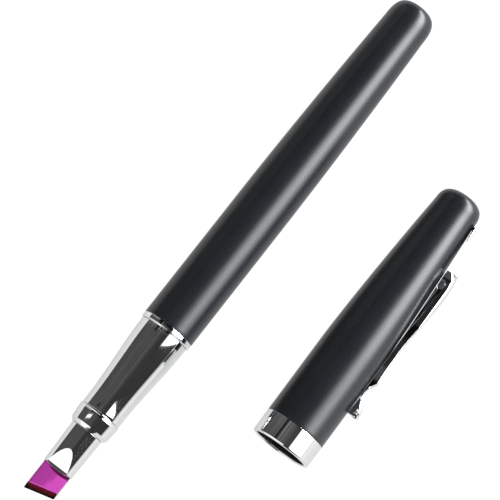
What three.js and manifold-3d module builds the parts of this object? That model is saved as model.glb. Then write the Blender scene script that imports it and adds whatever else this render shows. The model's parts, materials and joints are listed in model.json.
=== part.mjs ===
// A metal-bodied pen with a clear violet blade for a tip, lying beside its pulled-off cap.
// Millimetres, +Z up. The pen's axis runs along X, with the blade towards -X and the tail
// towards +X. The cap lies on the -Y side with its clip pointing away from the pen. The
// origin is in the middle of the footprint, on the surface that the pen and the cap lie on.
import * as THREE from 'three';
import { mergeVertices } from 'three/addons/utils/BufferGeometryUtils.js';
import Module from 'manifold-3d';

// ---- driving dimensions, mm ----

const FACETS = 32;                // sides of every turned piece
const FIT = 0.1;                  // gap left between nested pieces
const FACE_GAP = 0.05;            // gap left between end faces that meet
const WALL = 0.5;                 // drawn metal tube

// stations along the pen, measured from the barrel's mouth
const BARREL_LENGTH = 79.6;
const BARREL_RADIUS = 5.5;
const TAPER_START = 29;
const DOME_START = 74;
const DOME_RADIUS = 4.66;         // barrel radius where the tail dome starts
const DOME_BLUNTNESS = 3.4;
const TAIL_FLAT_RADIUS = 1.9;
const RING_FRONT = -1.25;
const COLLAR_REAR = -21;
const COLLAR_FRONT = -24.95;
const HOLDER_END = -33.7;
const BLADE_LONG_SIDE = -40.45;   // blade corner on the +Y side
const BLADE_SHORT_SIDE = -38.9;   // blade corner on the -Y side

const THREAD_RADIUS = 4.2;        // section's threaded shank, taken at its crest
const THREAD_END = 10.5;
const BUSH_LENGTH = 11.4;
const GRIP_REAR_RADIUS = 5.2;
const GRIP_FRONT_RADIUS = 4.26;
const FLARE_START = -19.6;        // the grip swells from here to the ring in an S curve
const GRIP_BORE = 3.7;
const COLLAR_REAR_RADIUS = 4.42;
const COLLAR_FRONT_RADIUS = 4.12;
const COLLAR_CHAMFER = 0.7;
const HOLDER_RADIUS = 3.42;
const HOLDER_TIP_RADIUS = 3.2;
const SHANK_RADIUS = 2.0;         // the holder's shank inside the section
const SHANK_END = 5.4;
const FACET_LENGTH = 3.6;         // flat ground on top of the holder's end
const FACET_DEPTH = 0.92;
const BLADE_WIDTH = 5.9;
const BLADE_THICKNESS = 1.6;
const BLADE_ROOT = -28.0;
const BEVEL_LENGTH = 1.25;
const SLOT_CLEARANCE = 0.06;
const NUT_SEAT = 2.0;             // floor of the core's counterbore
const COUNTERBORE = 3.45;
const WASHER_THICKNESS = 0.4;
const NUT_THICKNESS = 2.4;
const NUT_CORNER_RADIUS = 3.2;

// stations along the cap, measured from its mouth towards its closed end
const CAP_LENGTH = 60.3;
const CAP_RADIUS = 6.25;
const CAP_TAPER_START = 22;
const CAP_DOME_START = 56.6;
const CAP_DOME_RADIUS = 4.66;
const CAP_DOME_BLUNTNESS = 2.9;
const CAP_FLAT_RADIUS = 2.1;
const CAP_WALL = 0.55;
const BAND_LENGTH = 4.8;
const BAND_STEP_RADIUS = 5.95;     // the shell is turned down under the band
const LINER_MOUTH = 1.5;
const LINER_END = 44.4;
const LINER_WALL = 0.35;
const LINER_BORE = 5.25;
const RETAINER_START = 45;
const RETAINER_END = 57;
const TONGUE_X = 55.85;
const TONGUE_THICKNESS = 0.7;
const TONGUE_WIDTH = 2.2;
const TONGUE_DEPTH = 3.4;         // distance of the tongue's tip from the cap's axis
const TONGUE_CLEARANCE = 0.35;

// the clip's outer face, root to tip: [station along the cap, distance from the cap's axis]
const CLIP_FACE = [
  [56.8, 5.4], [55, 5.45], [53.2, 5.65], [51, 6.4], [48.6, 7.4], [46.4, 8.0], [43.5, 8.35], [40, 8.35],
  [36, 8.05], [31.5, 7.5], [27.5, 7.4], [24, 7.6], [21.2, 7.75], [19.6, 7.4], [17.8, 6.95], [16.6, 7.3],
  [15.4, 8.1], [14.4, 8.5], [13.3, 8.55],
];
const CLIP_SHEET = 0.45;
const CLIP_WIDTH = 4.4;
const CLIP_TIP_WIDTH = 3.1;
const FLANGE_FROM = 46.2;
const FLANGE_TO = 20;
const FLANGE_LIFT = 0.3;          // gap between the flanges' edges and the cap
const PAD_X = 14.95;
const PAD_HALF_LENGTH = 2.1;
const PAD_HALF_WIDTH = 1.3;
const PAD_HEIGHT = 1.05;
const PAD_LIFT = 0.12;

// where the cap lies: its mouth, from the pen's barrel mouth, and its turn about +Z
const CAP_MOUTH_X = -5.5;
const CAP_MOUTH_Y = -30.87;
const CAP_YAW = THREE.MathUtils.degToRad(1.2);

// ---- geometry helpers ----

const wasm = await Module();
wasm.setup();

// A closed three.js geometry as a solid that can be joined and cut.
function solid(geometry) {
  const bare = geometry.clone();
  bare.deleteAttribute('normal');
  bare.deleteAttribute('uv');
  const merged = mergeVertices(bare, 1e-4);
  const corners = merged.index.array;
  const triangles = [];
  for (let i = 0; i < corners.length; i += 3) {
    const [a, b, c] = corners.slice(i, i + 3);
    if (a !== b && b !== c && c !== a) {
      triangles.push(a, b, c);
    }
  }
  return new wasm.Manifold(new wasm.Mesh({
    numProp: 3,
    vertProperties: Float32Array.from(merged.attributes.position.array),
    triVerts: Uint32Array.from(triangles),
  }));
}

function geometryOf(body) {
  const mesh = body.getMesh();
  const geometry = new THREE.BufferGeometry();
  geometry.setAttribute('position', new THREE.BufferAttribute(Float32Array.from(mesh.vertProperties), 3));
  geometry.setIndex(Array.from(mesh.triVerts));
  geometry.computeVertexNormals();
  return geometry;
}

function named(name, body, material) {
  const mesh = new THREE.Mesh(geometryOf(body), material);
  mesh.name = name;
  return mesh;
}

// A turned solid about the X axis. The profile is a list of [x, radius]: the outside in
// the +X direction, then the bore back in the -X direction.
function turned(profile, facets = FACETS) {
  const points = profile.map(([x, radius]) => new THREE.Vector2(radius, x));
  return solid(new THREE.LatheGeometry(points, facets).rotateZ(-Math.PI / 2));
}

// The same for a piece with an open bore, whose profile closes on itself.
function turnedRing(profile, facets = FACETS) {
  return turned([...profile, profile[0]], facets);
}

function block(low, high) {
  const size = high.map((value, axis) => value - low[axis]);
  const middle = high.map((value, axis) => (value + low[axis]) / 2);
  return solid(new THREE.BoxGeometry(...size).translate(...middle));
}

// A flat outline in X and Y, extruded evenly to both sides of Z = middle.
function plate(points, thickness, middle = 0) {
  const shape = new THREE.Shape(points.map(([x, y]) => new THREE.Vector2(x, y)));
  const geometry = new THREE.ExtrudeGeometry(shape, { depth: thickness, bevelEnabled: false });
  return solid(geometry.translate(0, 0, middle - thickness / 2));
}

// [x, radius] points of a stretch of tube, from a radius formula.
function stretch(radiusAt, from, to, steps) {
  const points = [];
  for (let i = 0; i <= steps; i += 1) {
    const x = from + (to - from) * i / steps;
    points.push([x, radiusAt(x)]);
  }
  return points;
}

// [x, radius] points of a blunt dome that ends in a flat disc, without its first point.
function dome(from, radius, end, flatRadius, bluntness, steps) {
  const points = [];
  const last = Math.acos((flatRadius / radius) ** (bluntness / 2));
  for (let i = 1; i <= steps; i += 1) {
    const angle = last * i / steps;
    const along = Math.sin(angle) ** (2 / bluntness) / Math.sin(last) ** (2 / bluntness);
    points.push([from + (end - from) * along, radius * Math.cos(angle) ** (2 / bluntness)]);
  }
  return points;
}

// ---- materials ----

function finish(color, roughness, metalness, extra = {}) {
  return new THREE.MeshStandardMaterial({ color, roughness, metalness, ...extra });
}

const BLACK_LACQUER = 0x1e2024;
const CHROME = 0xd6d8da;
const BRASS = 0xb8934a;
const STEEL = 0x9a9ca0;
const BLACK_PLASTIC = 0x17171a;
const VIOLET = 0xb43ca4;

// ---- the pen ----

function barrelRadius(x) {
  const along = Math.max(0, (x - TAPER_START) / (DOME_START - TAPER_START));
  return BARREL_RADIUS - (BARREL_RADIUS - DOME_RADIUS) * along ** 1.8;
}

function barrelShell() {
  const endWall = 1.2;
  const innerNose = 2.2;
  const inside = stretch((x) => barrelRadius(x) - WALL, TAPER_START, DOME_START, 4).reverse();
  return turned([
    [BARREL_LENGTH - endWall, 0],
    [BARREL_LENGTH - endWall, innerNose],
    [BARREL_LENGTH - endWall - 1.6, innerNose + 1.3],
    ...inside,
    [0, BARREL_RADIUS - WALL],
    [0, BARREL_RADIUS - 0.08],
    [0.08, BARREL_RADIUS],
    ...stretch(barrelRadius, TAPER_START, DOME_START, 7),
    ...dome(DOME_START, DOME_RADIUS, BARREL_LENGTH, TAIL_FLAT_RADIUS, DOME_BLUNTNESS, 7),
    [BARREL_LENGTH, 0],
  ]);
}

function threadBush() {
  const bore = THREAD_RADIUS + FIT;
  const outside = BARREL_RADIUS - WALL - FIT;
  const chamfer = 0.25;
  return turnedRing([
    [0.2, bore + chamfer],
    [0.2, outside - 0.1],
    [0.3, outside],
    [BUSH_LENGTH, outside],
    [BUSH_LENGTH, bore],
    [0.2 + chamfer, bore],
  ]);
}

function trimRing() {
  const front = RING_FRONT + FACE_GAP;
  const rear = -FACE_GAP;
  const chamfer = 0.2;
  return turnedRing([
    [front, THREAD_RADIUS + FIT],
    [front, BARREL_RADIUS - chamfer],
    [front + chamfer, BARREL_RADIUS],
    [rear - chamfer / 2, BARREL_RADIUS],
    [rear, BARREL_RADIUS - chamfer / 2],
    [rear, THREAD_RADIUS + FIT],
  ]);
}

function gripRadius(x) {
  const flare = THREE.MathUtils.smoothstep(x, FLARE_START, RING_FRONT);
  return THREE.MathUtils.lerp(GRIP_FRONT_RADIUS, GRIP_REAR_RADIUS, flare);
}

function gripSection() {
  const front = COLLAR_REAR + FACE_GAP;
  const rear = RING_FRONT;
  return turnedRing([
    [front, GRIP_BORE],
    [front, GRIP_FRONT_RADIUS - 0.08],
    [front + 0.08, GRIP_FRONT_RADIUS],
    ...stretch(gripRadius, FLARE_START, rear - 0.1, 9),
    [rear, GRIP_REAR_RADIUS - 0.1],
    [rear, GRIP_BORE],
  ]);
}

// The core carries the thread and holds the blade holder's shank and its nut.
function sectionCore() {
  const front = COLLAR_REAR + FACE_GAP + 0.3;
  const shoulder = RING_FRONT + FACE_GAP;
  const chamfer = 0.35;
  return turnedRing([
    [front, SHANK_RADIUS + FIT],
    [front, GRIP_BORE - FIT - 0.3],
    [front + 0.3, GRIP_BORE - FIT],
    [shoulder, GRIP_BORE - FIT],
    [shoulder, THREAD_RADIUS],
    [THREAD_END - chamfer, THREAD_RADIUS],
    [THREAD_END, THREAD_RADIUS - chamfer],
    [THREAD_END, COUNTERBORE],
    [NUT_SEAT, COUNTERBORE],
    [NUT_SEAT, SHANK_RADIUS + FIT],
  ]);
}

// A conical collar with a bright rim behind and a wide chamfer in front.
function noseCollar() {
  const rear = COLLAR_REAR - FACE_GAP;
  const front = COLLAR_FRONT;
  const rim = 0.2;
  return turnedRing([
    [front, SHANK_RADIUS + FIT],
    [front, COLLAR_FRONT_RADIUS - 0.8 * COLLAR_CHAMFER],
    [front + COLLAR_CHAMFER, COLLAR_FRONT_RADIUS],
    [rear - 2 * rim, COLLAR_REAR_RADIUS],
    [rear - rim / 2, COLLAR_REAR_RADIUS - rim / 3],
    [rear, GRIP_FRONT_RADIUS - 0.05],
    [rear, SHANK_RADIUS + FIT],
  ]);
}

// A round holder with a shank behind it. Its end has a slot that the blade is bonded in and
// a flat ground on top, which slopes down to the end face.
function bladeHolder() {
  const shoulder = COLLAR_FRONT - FACE_GAP;
  const body = turned([
    [HOLDER_END, 0],
    [HOLDER_END, HOLDER_TIP_RADIUS - 0.1],
    [HOLDER_END + 0.1, HOLDER_TIP_RADIUS],
    [shoulder, HOLDER_RADIUS],
    [shoulder, SHANK_RADIUS],
    [SHANK_END - 0.3, SHANK_RADIUS],
    [SHANK_END, SHANK_RADIUS - 0.3],
    [SHANK_END, 0],
  ]);
  const slotWidth = BLADE_WIDTH / 2 + SLOT_CLEARANCE;
  const slotHeight = BLADE_THICKNESS / 2 + SLOT_CLEARANCE;
  const slot = block(
    [HOLDER_END - 1, -slotWidth, -slotHeight],
    [BLADE_ROOT + 0.2, slotWidth, slotHeight],
  );
  const slope = Math.atan2(FACET_DEPTH, FACET_LENGTH);
  const cutter = new THREE.BoxGeometry(3 * FACET_LENGTH, 4 * HOLDER_RADIUS, 4);
  cutter.translate(0, 0, 2);
  cutter.rotateY(-slope);
  cutter.translate(HOLDER_END, 0, HOLDER_TIP_RADIUS - FACET_DEPTH);
  return body.subtract(slot).subtract(solid(cutter));
}

// A flat blade with a skewed cutting edge, bevelled from both faces.
function blade() {
  const half = BLADE_WIDTH / 2;
  const chamfer = 0.25;
  const plan = plate([
    [BLADE_ROOT, -half + chamfer],
    [BLADE_ROOT, half - chamfer],
    [BLADE_ROOT - chamfer, half],
    [BLADE_LONG_SIDE, half],
    [BLADE_SHORT_SIDE, -half],
    [BLADE_ROOT - chamfer, -half],
  ], BLADE_THICKNESS);
  const skew = Math.atan2(BLADE_SHORT_SIDE - BLADE_LONG_SIDE, BLADE_WIDTH);
  const edgeHalfThickness = 0.04;
  const reach = BLADE_ROOT - BLADE_LONG_SIDE + BLADE_WIDTH;
  const sideProfile = plate([
    [0, -edgeHalfThickness],
    [BEVEL_LENGTH, -BLADE_THICKNESS / 2],
    [reach, -BLADE_THICKNESS / 2],
    [reach, BLADE_THICKNESS / 2],
    [BEVEL_LENGTH, BLADE_THICKNESS / 2],
    [0, edgeHalfThickness],
  ], 3 * BLADE_WIDTH);
  const wedge = geometryOf(sideProfile);
  wedge.rotateX(Math.PI / 2);
  wedge.rotateZ(skew);
  wedge.translate((BLADE_LONG_SIDE + BLADE_SHORT_SIDE) / 2, 0, 0);
  return plan.intersect(solid(wedge));
}

function lockWasher() {
  const low = NUT_SEAT + FACE_GAP;
  return turnedRing([
    [low, SHANK_RADIUS + FIT],
    [low, NUT_CORNER_RADIUS - 0.1],
    [low + WASHER_THICKNESS, NUT_CORNER_RADIUS - 0.1],
    [low + WASHER_THICKNESS, SHANK_RADIUS + FIT],
  ], FACETS / 2);
}

function lockNut() {
  const low = NUT_SEAT + WASHER_THICKNESS + 2 * FACE_GAP;
  const hexagon = turned([
    [low, 0],
    [low, NUT_CORNER_RADIUS],
    [low + NUT_THICKNESS, NUT_CORNER_RADIUS],
    [low + NUT_THICKNESS, 0],
  ], 6);
  const bore = turned([
    [low - 1, 0],
    [low - 1, SHANK_RADIUS + FIT],
    [low + NUT_THICKNESS + 1, SHANK_RADIUS + FIT],
    [low + NUT_THICKNESS + 1, 0],
  ]);
  return hexagon.subtract(bore);
}

// ---- the cap ----

function capRadius(x) {
  const along = Math.max(0, (x - CAP_TAPER_START) / (CAP_DOME_START - CAP_TAPER_START));
  return CAP_RADIUS - (CAP_RADIUS - CAP_DOME_RADIUS) * along ** 1.45;
}

function tongueSpace(outermost) {
  const halfThickness = TONGUE_THICKNESS / 2 + TONGUE_CLEARANCE;
  const halfWidth = TONGUE_WIDTH / 2 + TONGUE_CLEARANCE;
  return block(
    [TONGUE_X - halfThickness, -outermost, -halfWidth],
    [TONGUE_X + halfThickness, -TONGUE_DEPTH + TONGUE_CLEARANCE, halfWidth],
  );
}

function capShell() {
  const stepStart = 1.4;
  const endWall = 1.4;
  const innerWall = (x) => capRadius(x) - CAP_WALL;
  const shell = turned([
    [CAP_LENGTH - endWall, 0],
    [CAP_LENGTH - endWall, CAP_FLAT_RADIUS],
    [CAP_LENGTH - endWall - 0.7, CAP_FLAT_RADIUS + 1.1],
    ...stretch(innerWall, CAP_TAPER_START, CAP_DOME_START, 5).reverse(),
    [stepStart, CAP_RADIUS - CAP_WALL],
    [stepStart, BAND_STEP_RADIUS],
    [BAND_LENGTH + FACE_GAP, BAND_STEP_RADIUS],
    [BAND_LENGTH + FACE_GAP, CAP_RADIUS],
    ...stretch(capRadius, CAP_TAPER_START, CAP_DOME_START, 8),
    ...dome(CAP_DOME_START, CAP_DOME_RADIUS, CAP_LENGTH, CAP_FLAT_RADIUS, CAP_DOME_BLUNTNESS, 7),
    [CAP_LENGTH, 0],
  ]);
  return shell.subtract(tongueSpace(CAP_RADIUS + 1));
}

// The bright band is pressed over the shell's turned-down end and has a rounded lip.
function capBand() {
  const lipRadius = 5.45;
  return turnedRing([
    [0, lipRadius + 0.25],
    [0, CAP_RADIUS - 0.35],
    [0.12, CAP_RADIUS - 0.12],
    [0.35, CAP_RADIUS],
    [BAND_LENGTH - 0.08, CAP_RADIUS],
    [BAND_LENGTH, CAP_RADIUS - 0.08],
    [BAND_LENGTH, BAND_STEP_RADIUS + FIT],
    [1.2, BAND_STEP_RADIUS + FIT],
    [1.2, lipRadius],
    [0.2, lipRadius],
  ]);
}

// The inner cap, which grips the section and keeps the blade clear of the cap.
function capLiner() {
  const outside = (x) => capRadius(x) - CAP_WALL - FIT;
  const floor = LINER_END - 1;
  return turned([
    [floor, 0],
    [floor, 3.4],
    [floor - 1.2, outside(floor) - LINER_WALL],
    ...stretch((x) => Math.min(LINER_BORE, outside(x) - LINER_WALL), CAP_TAPER_START, floor - 4, 3).reverse(),
    [LINER_MOUTH + 0.3, LINER_BORE],
    [LINER_MOUTH, LINER_BORE + 0.15],
    [LINER_MOUTH, outside(0)],
    ...stretch(outside, CAP_TAPER_START, LINER_END, 4),
    [LINER_END, 0],
  ]);
}

// A plug behind the inner cap, which holds the clip's tongue.
function clipRetainer() {
  const outside = (x) => capRadius(x) - CAP_WALL - FIT;
  const chamfer = 1.4;
  const plug = turned([
    [RETAINER_START, 0],
    ...stretch(outside, RETAINER_START, RETAINER_END - chamfer, 3),
    [RETAINER_END, outside(RETAINER_END) - chamfer / 2],
    [RETAINER_END, 0],
  ]);
  return plug.subtract(tongueSpace(CAP_RADIUS + 1));
}

// The clip's half width shrinks from its crest to its tip.
function clipTaper(x) {
  const along = THREE.MathUtils.clamp((FLANGE_FROM - x) / (FLANGE_FROM - FLANGE_TO), 0, 1);
  return 1 - (1 - CLIP_TIP_WIDTH / CLIP_WIDTH) * along;
}

function clipArm() {
  const face = new THREE.SplineCurve(CLIP_FACE.map(([x, y]) => new THREE.Vector2(x, y)));
  const steps = 36;
  const outer = [];
  const inner = [];
  for (let i = 0; i <= steps; i += 1) {
    const point = face.getPoint(i / steps);
    const along = face.getTangent(i / steps);
    outer.push([point.x, point.y]);
    inner.push([point.x - along.y * CLIP_SHEET, point.y + along.x * CLIP_SHEET]);
  }
  return { outer, body: plate([...outer, ...inner.reverse()], CLIP_WIDTH) };
}

// A side flange of the folded clip: from the arm down to just above the cap.
function clipFlange(outer, side) {
  const thickness = CLIP_SHEET;
  const middle = side * (CLIP_WIDTH / 2 - thickness / 2);
  const top = outer.filter(([x]) => x < FLANGE_FROM - 1 && x > FLANGE_TO)
    .map(([x, y]) => [x, y - CLIP_SHEET / 2]);
  const edge = [];
  const steps = 8;
  for (let i = 0; i <= steps; i += 1) {
    const x = FLANGE_TO - 0.6 + (FLANGE_FROM - FLANGE_TO + 0.6) * i / steps;
    const overhang = CLIP_TIP_WIDTH / 2 - thickness;
    edge.push([x, Math.sqrt(capRadius(x) ** 2 - overhang ** 2) + FLANGE_LIFT]);
  }
  return plate([...top, ...edge], thickness, middle);
}

function pocketClip() {
  const arm = clipArm();
  const pad = new THREE.SphereGeometry(1, 14, 8);
  pad.scale(PAD_HALF_LENGTH, PAD_HEIGHT, PAD_HALF_WIDTH * CLIP_WIDTH / CLIP_TIP_WIDTH);
  pad.translate(PAD_X, CAP_RADIUS + PAD_LIFT + PAD_HEIGHT, 0);
  const tongue = block(
    [TONGUE_X - TONGUE_THICKNESS / 2, TONGUE_DEPTH, -TONGUE_WIDTH / 2],
    [TONGUE_X + TONGUE_THICKNESS / 2, 5.3, TONGUE_WIDTH / 2],
  );
  const folded = arm.body
    .add(clipFlange(arm.outer, 1))
    .add(clipFlange(arm.outer, -1))
    .add(solid(pad))
    .add(tongue);
  const geometry = geometryOf(folded);
  const position = geometry.attributes.position;
  for (let i = 0; i < position.count; i += 1) {
    position.setZ(i, position.getZ(i) * clipTaper(position.getX(i)));
  }
  geometry.rotateX(Math.PI);
  return solid(geometry);
}

// ---- assembly ----

const lacquer = () => finish(BLACK_LACQUER, 0.38, 0.3);
const chrome = () => finish(CHROME, 0.08, 1);
const clear = { transparent: true, opacity: 0.75 };

const pen = new THREE.Group();
pen.position.set(0, 0, BARREL_RADIUS);
pen.add(
  named('barrel_shell', barrelShell(), lacquer()),
  named('barrel_thread_bush', threadBush(), finish(BRASS, 0.35, 1)),
  named('trim_ring', trimRing(), chrome()),
  named('grip_section', gripSection(), chrome()),
  named('section_core', sectionCore(), finish(BRASS, 0.35, 1)),
  named('nose_collar', noseCollar(), chrome()),
  named('blade_holder', bladeHolder(), chrome()),
  named('blade', blade(), finish(VIOLET, 0.06, 0, clear)),
  named('lock_washer', lockWasher(), finish(STEEL, 0.4, 1)),
  named('lock_nut', lockNut(), finish(STEEL, 0.35, 1)),
);

const cap = new THREE.Group();
cap.position.set(CAP_MOUTH_X, CAP_MOUTH_Y, CAP_RADIUS);
cap.rotation.z = CAP_YAW;
cap.add(
  named('cap_shell', capShell(), lacquer()),
  named('cap_band', capBand(), chrome()),
  named('cap_liner', capLiner(), finish(BLACK_PLASTIC, 0.5, 0)),
  named('clip_retainer', clipRetainer(), finish(BLACK_PLASTIC, 0.5, 0)),
  named('pocket_clip', pocketClip(), chrome()),
);

const layout = new THREE.Group();
layout.add(pen, cap);
layout.updateMatrixWorld(true);
const footprint = new THREE.Box3().setFromObject(layout, true);
const middle = footprint.getCenter(new THREE.Vector3());
layout.position.set(-middle.x, -middle.y, -footprint.min.z);

const model = new THREE.Group();
model.name = 'uncapped_pen';
model.add(layout);

export default model;
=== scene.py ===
"""The looks of an uncapped metal pen with a violet blade, and of its cap lying beside it.

Lengths in the dimension tables are millimetres, as in the CAD model. Every piece is made in
its own local frame, X along its axis from the mouth end, and is then placed by a matrix that
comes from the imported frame. The scene itself is in metres.
"""
import json
import math

import bmesh
import bpy
from mathutils import Matrix, Vector


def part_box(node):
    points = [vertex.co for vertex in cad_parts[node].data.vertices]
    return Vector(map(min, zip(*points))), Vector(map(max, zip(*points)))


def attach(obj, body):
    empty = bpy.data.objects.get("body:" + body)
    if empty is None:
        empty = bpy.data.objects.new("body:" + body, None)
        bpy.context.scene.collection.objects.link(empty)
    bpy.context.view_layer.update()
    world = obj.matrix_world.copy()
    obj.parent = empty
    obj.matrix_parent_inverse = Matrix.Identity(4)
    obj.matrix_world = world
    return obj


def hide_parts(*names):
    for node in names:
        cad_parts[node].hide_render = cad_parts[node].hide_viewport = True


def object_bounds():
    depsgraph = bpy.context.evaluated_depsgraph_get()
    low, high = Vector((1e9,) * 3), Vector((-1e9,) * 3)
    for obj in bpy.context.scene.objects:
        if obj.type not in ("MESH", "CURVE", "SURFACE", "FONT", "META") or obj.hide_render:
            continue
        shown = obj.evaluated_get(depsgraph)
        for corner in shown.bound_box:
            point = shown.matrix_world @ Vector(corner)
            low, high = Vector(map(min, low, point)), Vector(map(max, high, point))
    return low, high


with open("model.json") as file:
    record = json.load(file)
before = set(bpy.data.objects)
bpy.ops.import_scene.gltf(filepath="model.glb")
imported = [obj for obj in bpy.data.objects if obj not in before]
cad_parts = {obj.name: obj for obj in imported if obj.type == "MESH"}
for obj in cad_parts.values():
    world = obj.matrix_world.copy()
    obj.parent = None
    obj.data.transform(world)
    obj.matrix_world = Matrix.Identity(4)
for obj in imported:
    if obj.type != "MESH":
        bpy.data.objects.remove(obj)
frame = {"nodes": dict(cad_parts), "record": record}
cad_low, cad_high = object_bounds()

MM = 0.001
SIDES = 144                      # sides of a turned piece that shows
HIDDEN_SIDES = 96                # sides of a turned piece inside the pen
FINE = 6                         # segments in a small fillet
WELD = 1e-7                      # points closer than this, in metres, become one
CREASE = 32                      # edges sharper than this, in degrees, stay crisp

# ---- driving dimensions, mm, from the pen's barrel mouth ----
BARREL_LENGTH = 79.6
BARREL_RADIUS = 5.5
WALL = 0.5
TAPER_START = 29.0
DOME_START = 74.0
DOME_RADIUS = 4.66
DOME_BLUNTNESS = 3.4
RING_FRONT = -1.25
COLLAR_REAR = -21.0
COLLAR_FRONT = -24.95
HOLDER_END = -33.7
BLADE_LONG_SIDE = -40.45
BLADE_SHORT_SIDE = -38.9
THREAD_RADIUS = 4.2
THREAD_PITCH = 0.75
THREAD_DEPTH = 0.28
THREAD_RUNOUT = 0.8
THREAD_END = 10.5
BUSH_LENGTH = 11.4
GRIP_REAR_RADIUS = 5.2
GRIP_FRONT_RADIUS = 4.26
FLARE_START = -19.6
GRIP_BORE = 3.7
COLLAR_REAR_RADIUS = 4.42
COLLAR_FRONT_RADIUS = 4.12
COLLAR_CHAMFER = 0.7
HOLDER_RADIUS = 3.42
HOLDER_TIP_RADIUS = 3.2
SHANK_RADIUS = 2.0
SHANK_END = 5.4
FACET_LENGTH = 3.6
FACET_DEPTH = 0.92
FACET_BEVEL = 45                 # degrees, of the bevel in front of the ground flat
HOLDER_BOW = 0.7                 # how far the middle of the holder's end bulges
BLADE_CLEARANCE = 0.06
BLADE_WIDTH = 5.9
BLADE_THICKNESS = 1.6
BLADE_ROOT = -28.0
BEVEL_LENGTH = 1.25
BLADE_CHAMFER = 0.24
EDGE_HALF_THICKNESS = 0.02
BLADE_SKEW = math.atan2(BLADE_SHORT_SIDE - BLADE_LONG_SIDE, BLADE_WIDTH)
BLADE_TIP_MIDDLE = (BLADE_LONG_SIDE + BLADE_SHORT_SIDE) / 2
NUT_SEAT = 2.0
COUNTERBORE = 3.45
FIT = 0.1
FACE_GAP = 0.05

# ---- driving dimensions, mm, from the cap's mouth ----
CAP_LENGTH = 60.3
CAP_RADIUS = 6.25
CAP_TAPER_START = 22.0
CAP_DOME_START = 56.6
CAP_DOME_RADIUS = 4.66
CAP_DOME_BLUNTNESS = 2.9
CAP_FLAT_RADIUS = 2.1
CAP_WALL = 0.55
BAND_LENGTH = 4.8
BAND_STEP_RADIUS = 5.95
LINER_MOUTH = 1.5
LINER_END = 44.4
LINER_WALL = 0.35
LINER_BORE = 5.25
TONGUE_X = 55.85
TONGUE_THICKNESS = 0.7
TONGUE_WIDTH = 1.7
TONGUE_DEPTH = 3.4
TONGUE_CLEARANCE = 0.25
CLIP_FACE = [
    (56.6, 5.4), (55, 5.45), (53.2, 5.65), (51, 6.4), (48.6, 7.4), (46.4, 8.0), (43.5, 8.35),
    (40, 8.35), (36, 8.05), (31.5, 7.6), (27.5, 7.45), (24, 7.6), (21.2, 7.75), (20.4, 7.5),
    (19.3, 6.95), (18.2, 6.74), (17.4, 6.8), (16.5, 7.25), (15.5, 8.0), (14.5, 8.45), (13, 8.5),
]
CLIP_SHEET = 0.45
FLANGE_FROM = 46.2
FLANGE_TO = 19.4
FLANGE_LEAN = 12                 # degrees, of the flank that faces down
RIM_FROM = 44.5                  # the flange's upper rim is thicker from here to the tip
CLIP_FOLD = 0.3                  # radius of the fold between the face and a flank
BEND_START = 17                  # degrees, where the flank turns into the fold


# ---- where things are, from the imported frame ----

def pen_placement():
    low, high = (Vector(c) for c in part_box("barrel_shell"))
    return Matrix.Translation((low.x, (low.y + high.y) / 2, (low.z + high.z) / 2))


def cap_placement():
    joint = next(j for j in frame["record"]["behaviour"]["joints"] if j["name"] == "cap_slide")
    end = next(m for m in frame["record"]["mounts"] if m["name"] == "cap_end")
    along = Vector(joint["axis"]).normalized()
    mouth = Vector(end["pos_m"]) - along * CAP_LENGTH * MM
    turn = Matrix.Rotation(math.atan2(along.y, along.x), 4, "Z")
    return Matrix.Translation(mouth) @ turn


PEN = pen_placement()
CAP = cap_placement()


# ---- mesh helpers ----

def rounded(corners):
    """Profile corners, (x, radius) or (x, radius, fillet), with each fillet made an arc."""
    points = []
    for index, corner in enumerate(corners):
        here = Vector(corner[:2])
        fillet = corner[2] if len(corner) > 2 else 0
        if not fillet:
            points.append(tuple(here))
            continue
        before = (Vector(corners[index - 1][:2]) - here).normalized()
        after = (Vector(corners[(index + 1) % len(corners)][:2]) - here).normalized()
        half = before.angle(after) / 2
        centre = here + (before + after).normalized() * fillet / math.sin(half)
        start = here + before * fillet / math.tan(half) - centre
        end = here + after * fillet / math.tan(half) - centre
        turn = math.atan2(start.x * end.y - start.y * end.x, start.dot(end))
        for step in range(FINE + 1):
            angle = turn * step / FINE
            points.append((
                centre.x + start.x * math.cos(angle) - start.y * math.sin(angle),
                centre.y + start.x * math.sin(angle) + start.y * math.cos(angle),
            ))
    return points


def stretch(radius_at, start, end, steps):
    """Evenly spaced profile points along a radius that is a function of x."""
    xs = [start + (end - start) * i / steps for i in range(steps + 1)]
    return [(x, radius_at(x)) for x in xs]


def dome(start, radius, end, bluntness, steps=26):
    """A blunt dome down to the axis, without its first point."""
    power = 2 / bluntness
    points = []
    for index in range(1, steps):
        angle = math.pi / 2 * index / steps
        x = start + (end - start) * math.sin(angle) ** power
        points.append((x, radius * math.cos(angle) ** power))
    return points + [(end, 0)]


def shade_smooth(shape, crease):
    """Smooths a bmesh all over, and keeps its edges sharper than crease degrees crisp."""
    for face in shape.faces:
        face.smooth = True
    for edge in shape.edges:
        edge.smooth = not (edge.is_manifold and edge.calc_face_angle() > math.radians(crease))


def to_object(name, shape, placement, crease=CREASE):
    """Turns a closed bmesh into a smooth-shaded object."""
    bmesh.ops.remove_doubles(shape, verts=shape.verts, dist=WELD)
    bmesh.ops.recalc_face_normals(shape, faces=shape.faces)
    shade_smooth(shape, crease)
    mesh = bpy.data.meshes.new(name)
    shape.to_mesh(mesh)
    shape.free()
    piece = bpy.data.objects.new(name, mesh)
    bpy.context.scene.collection.objects.link(piece)
    piece.matrix_world = placement
    return piece


def weighted_normals(piece):
    """Lets the large faces of a polished piece decide its shading."""
    modifier = piece.modifiers.new("weighted_normals", "WEIGHTED_NORMAL")
    modifier.keep_sharp = True
    return piece


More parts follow.
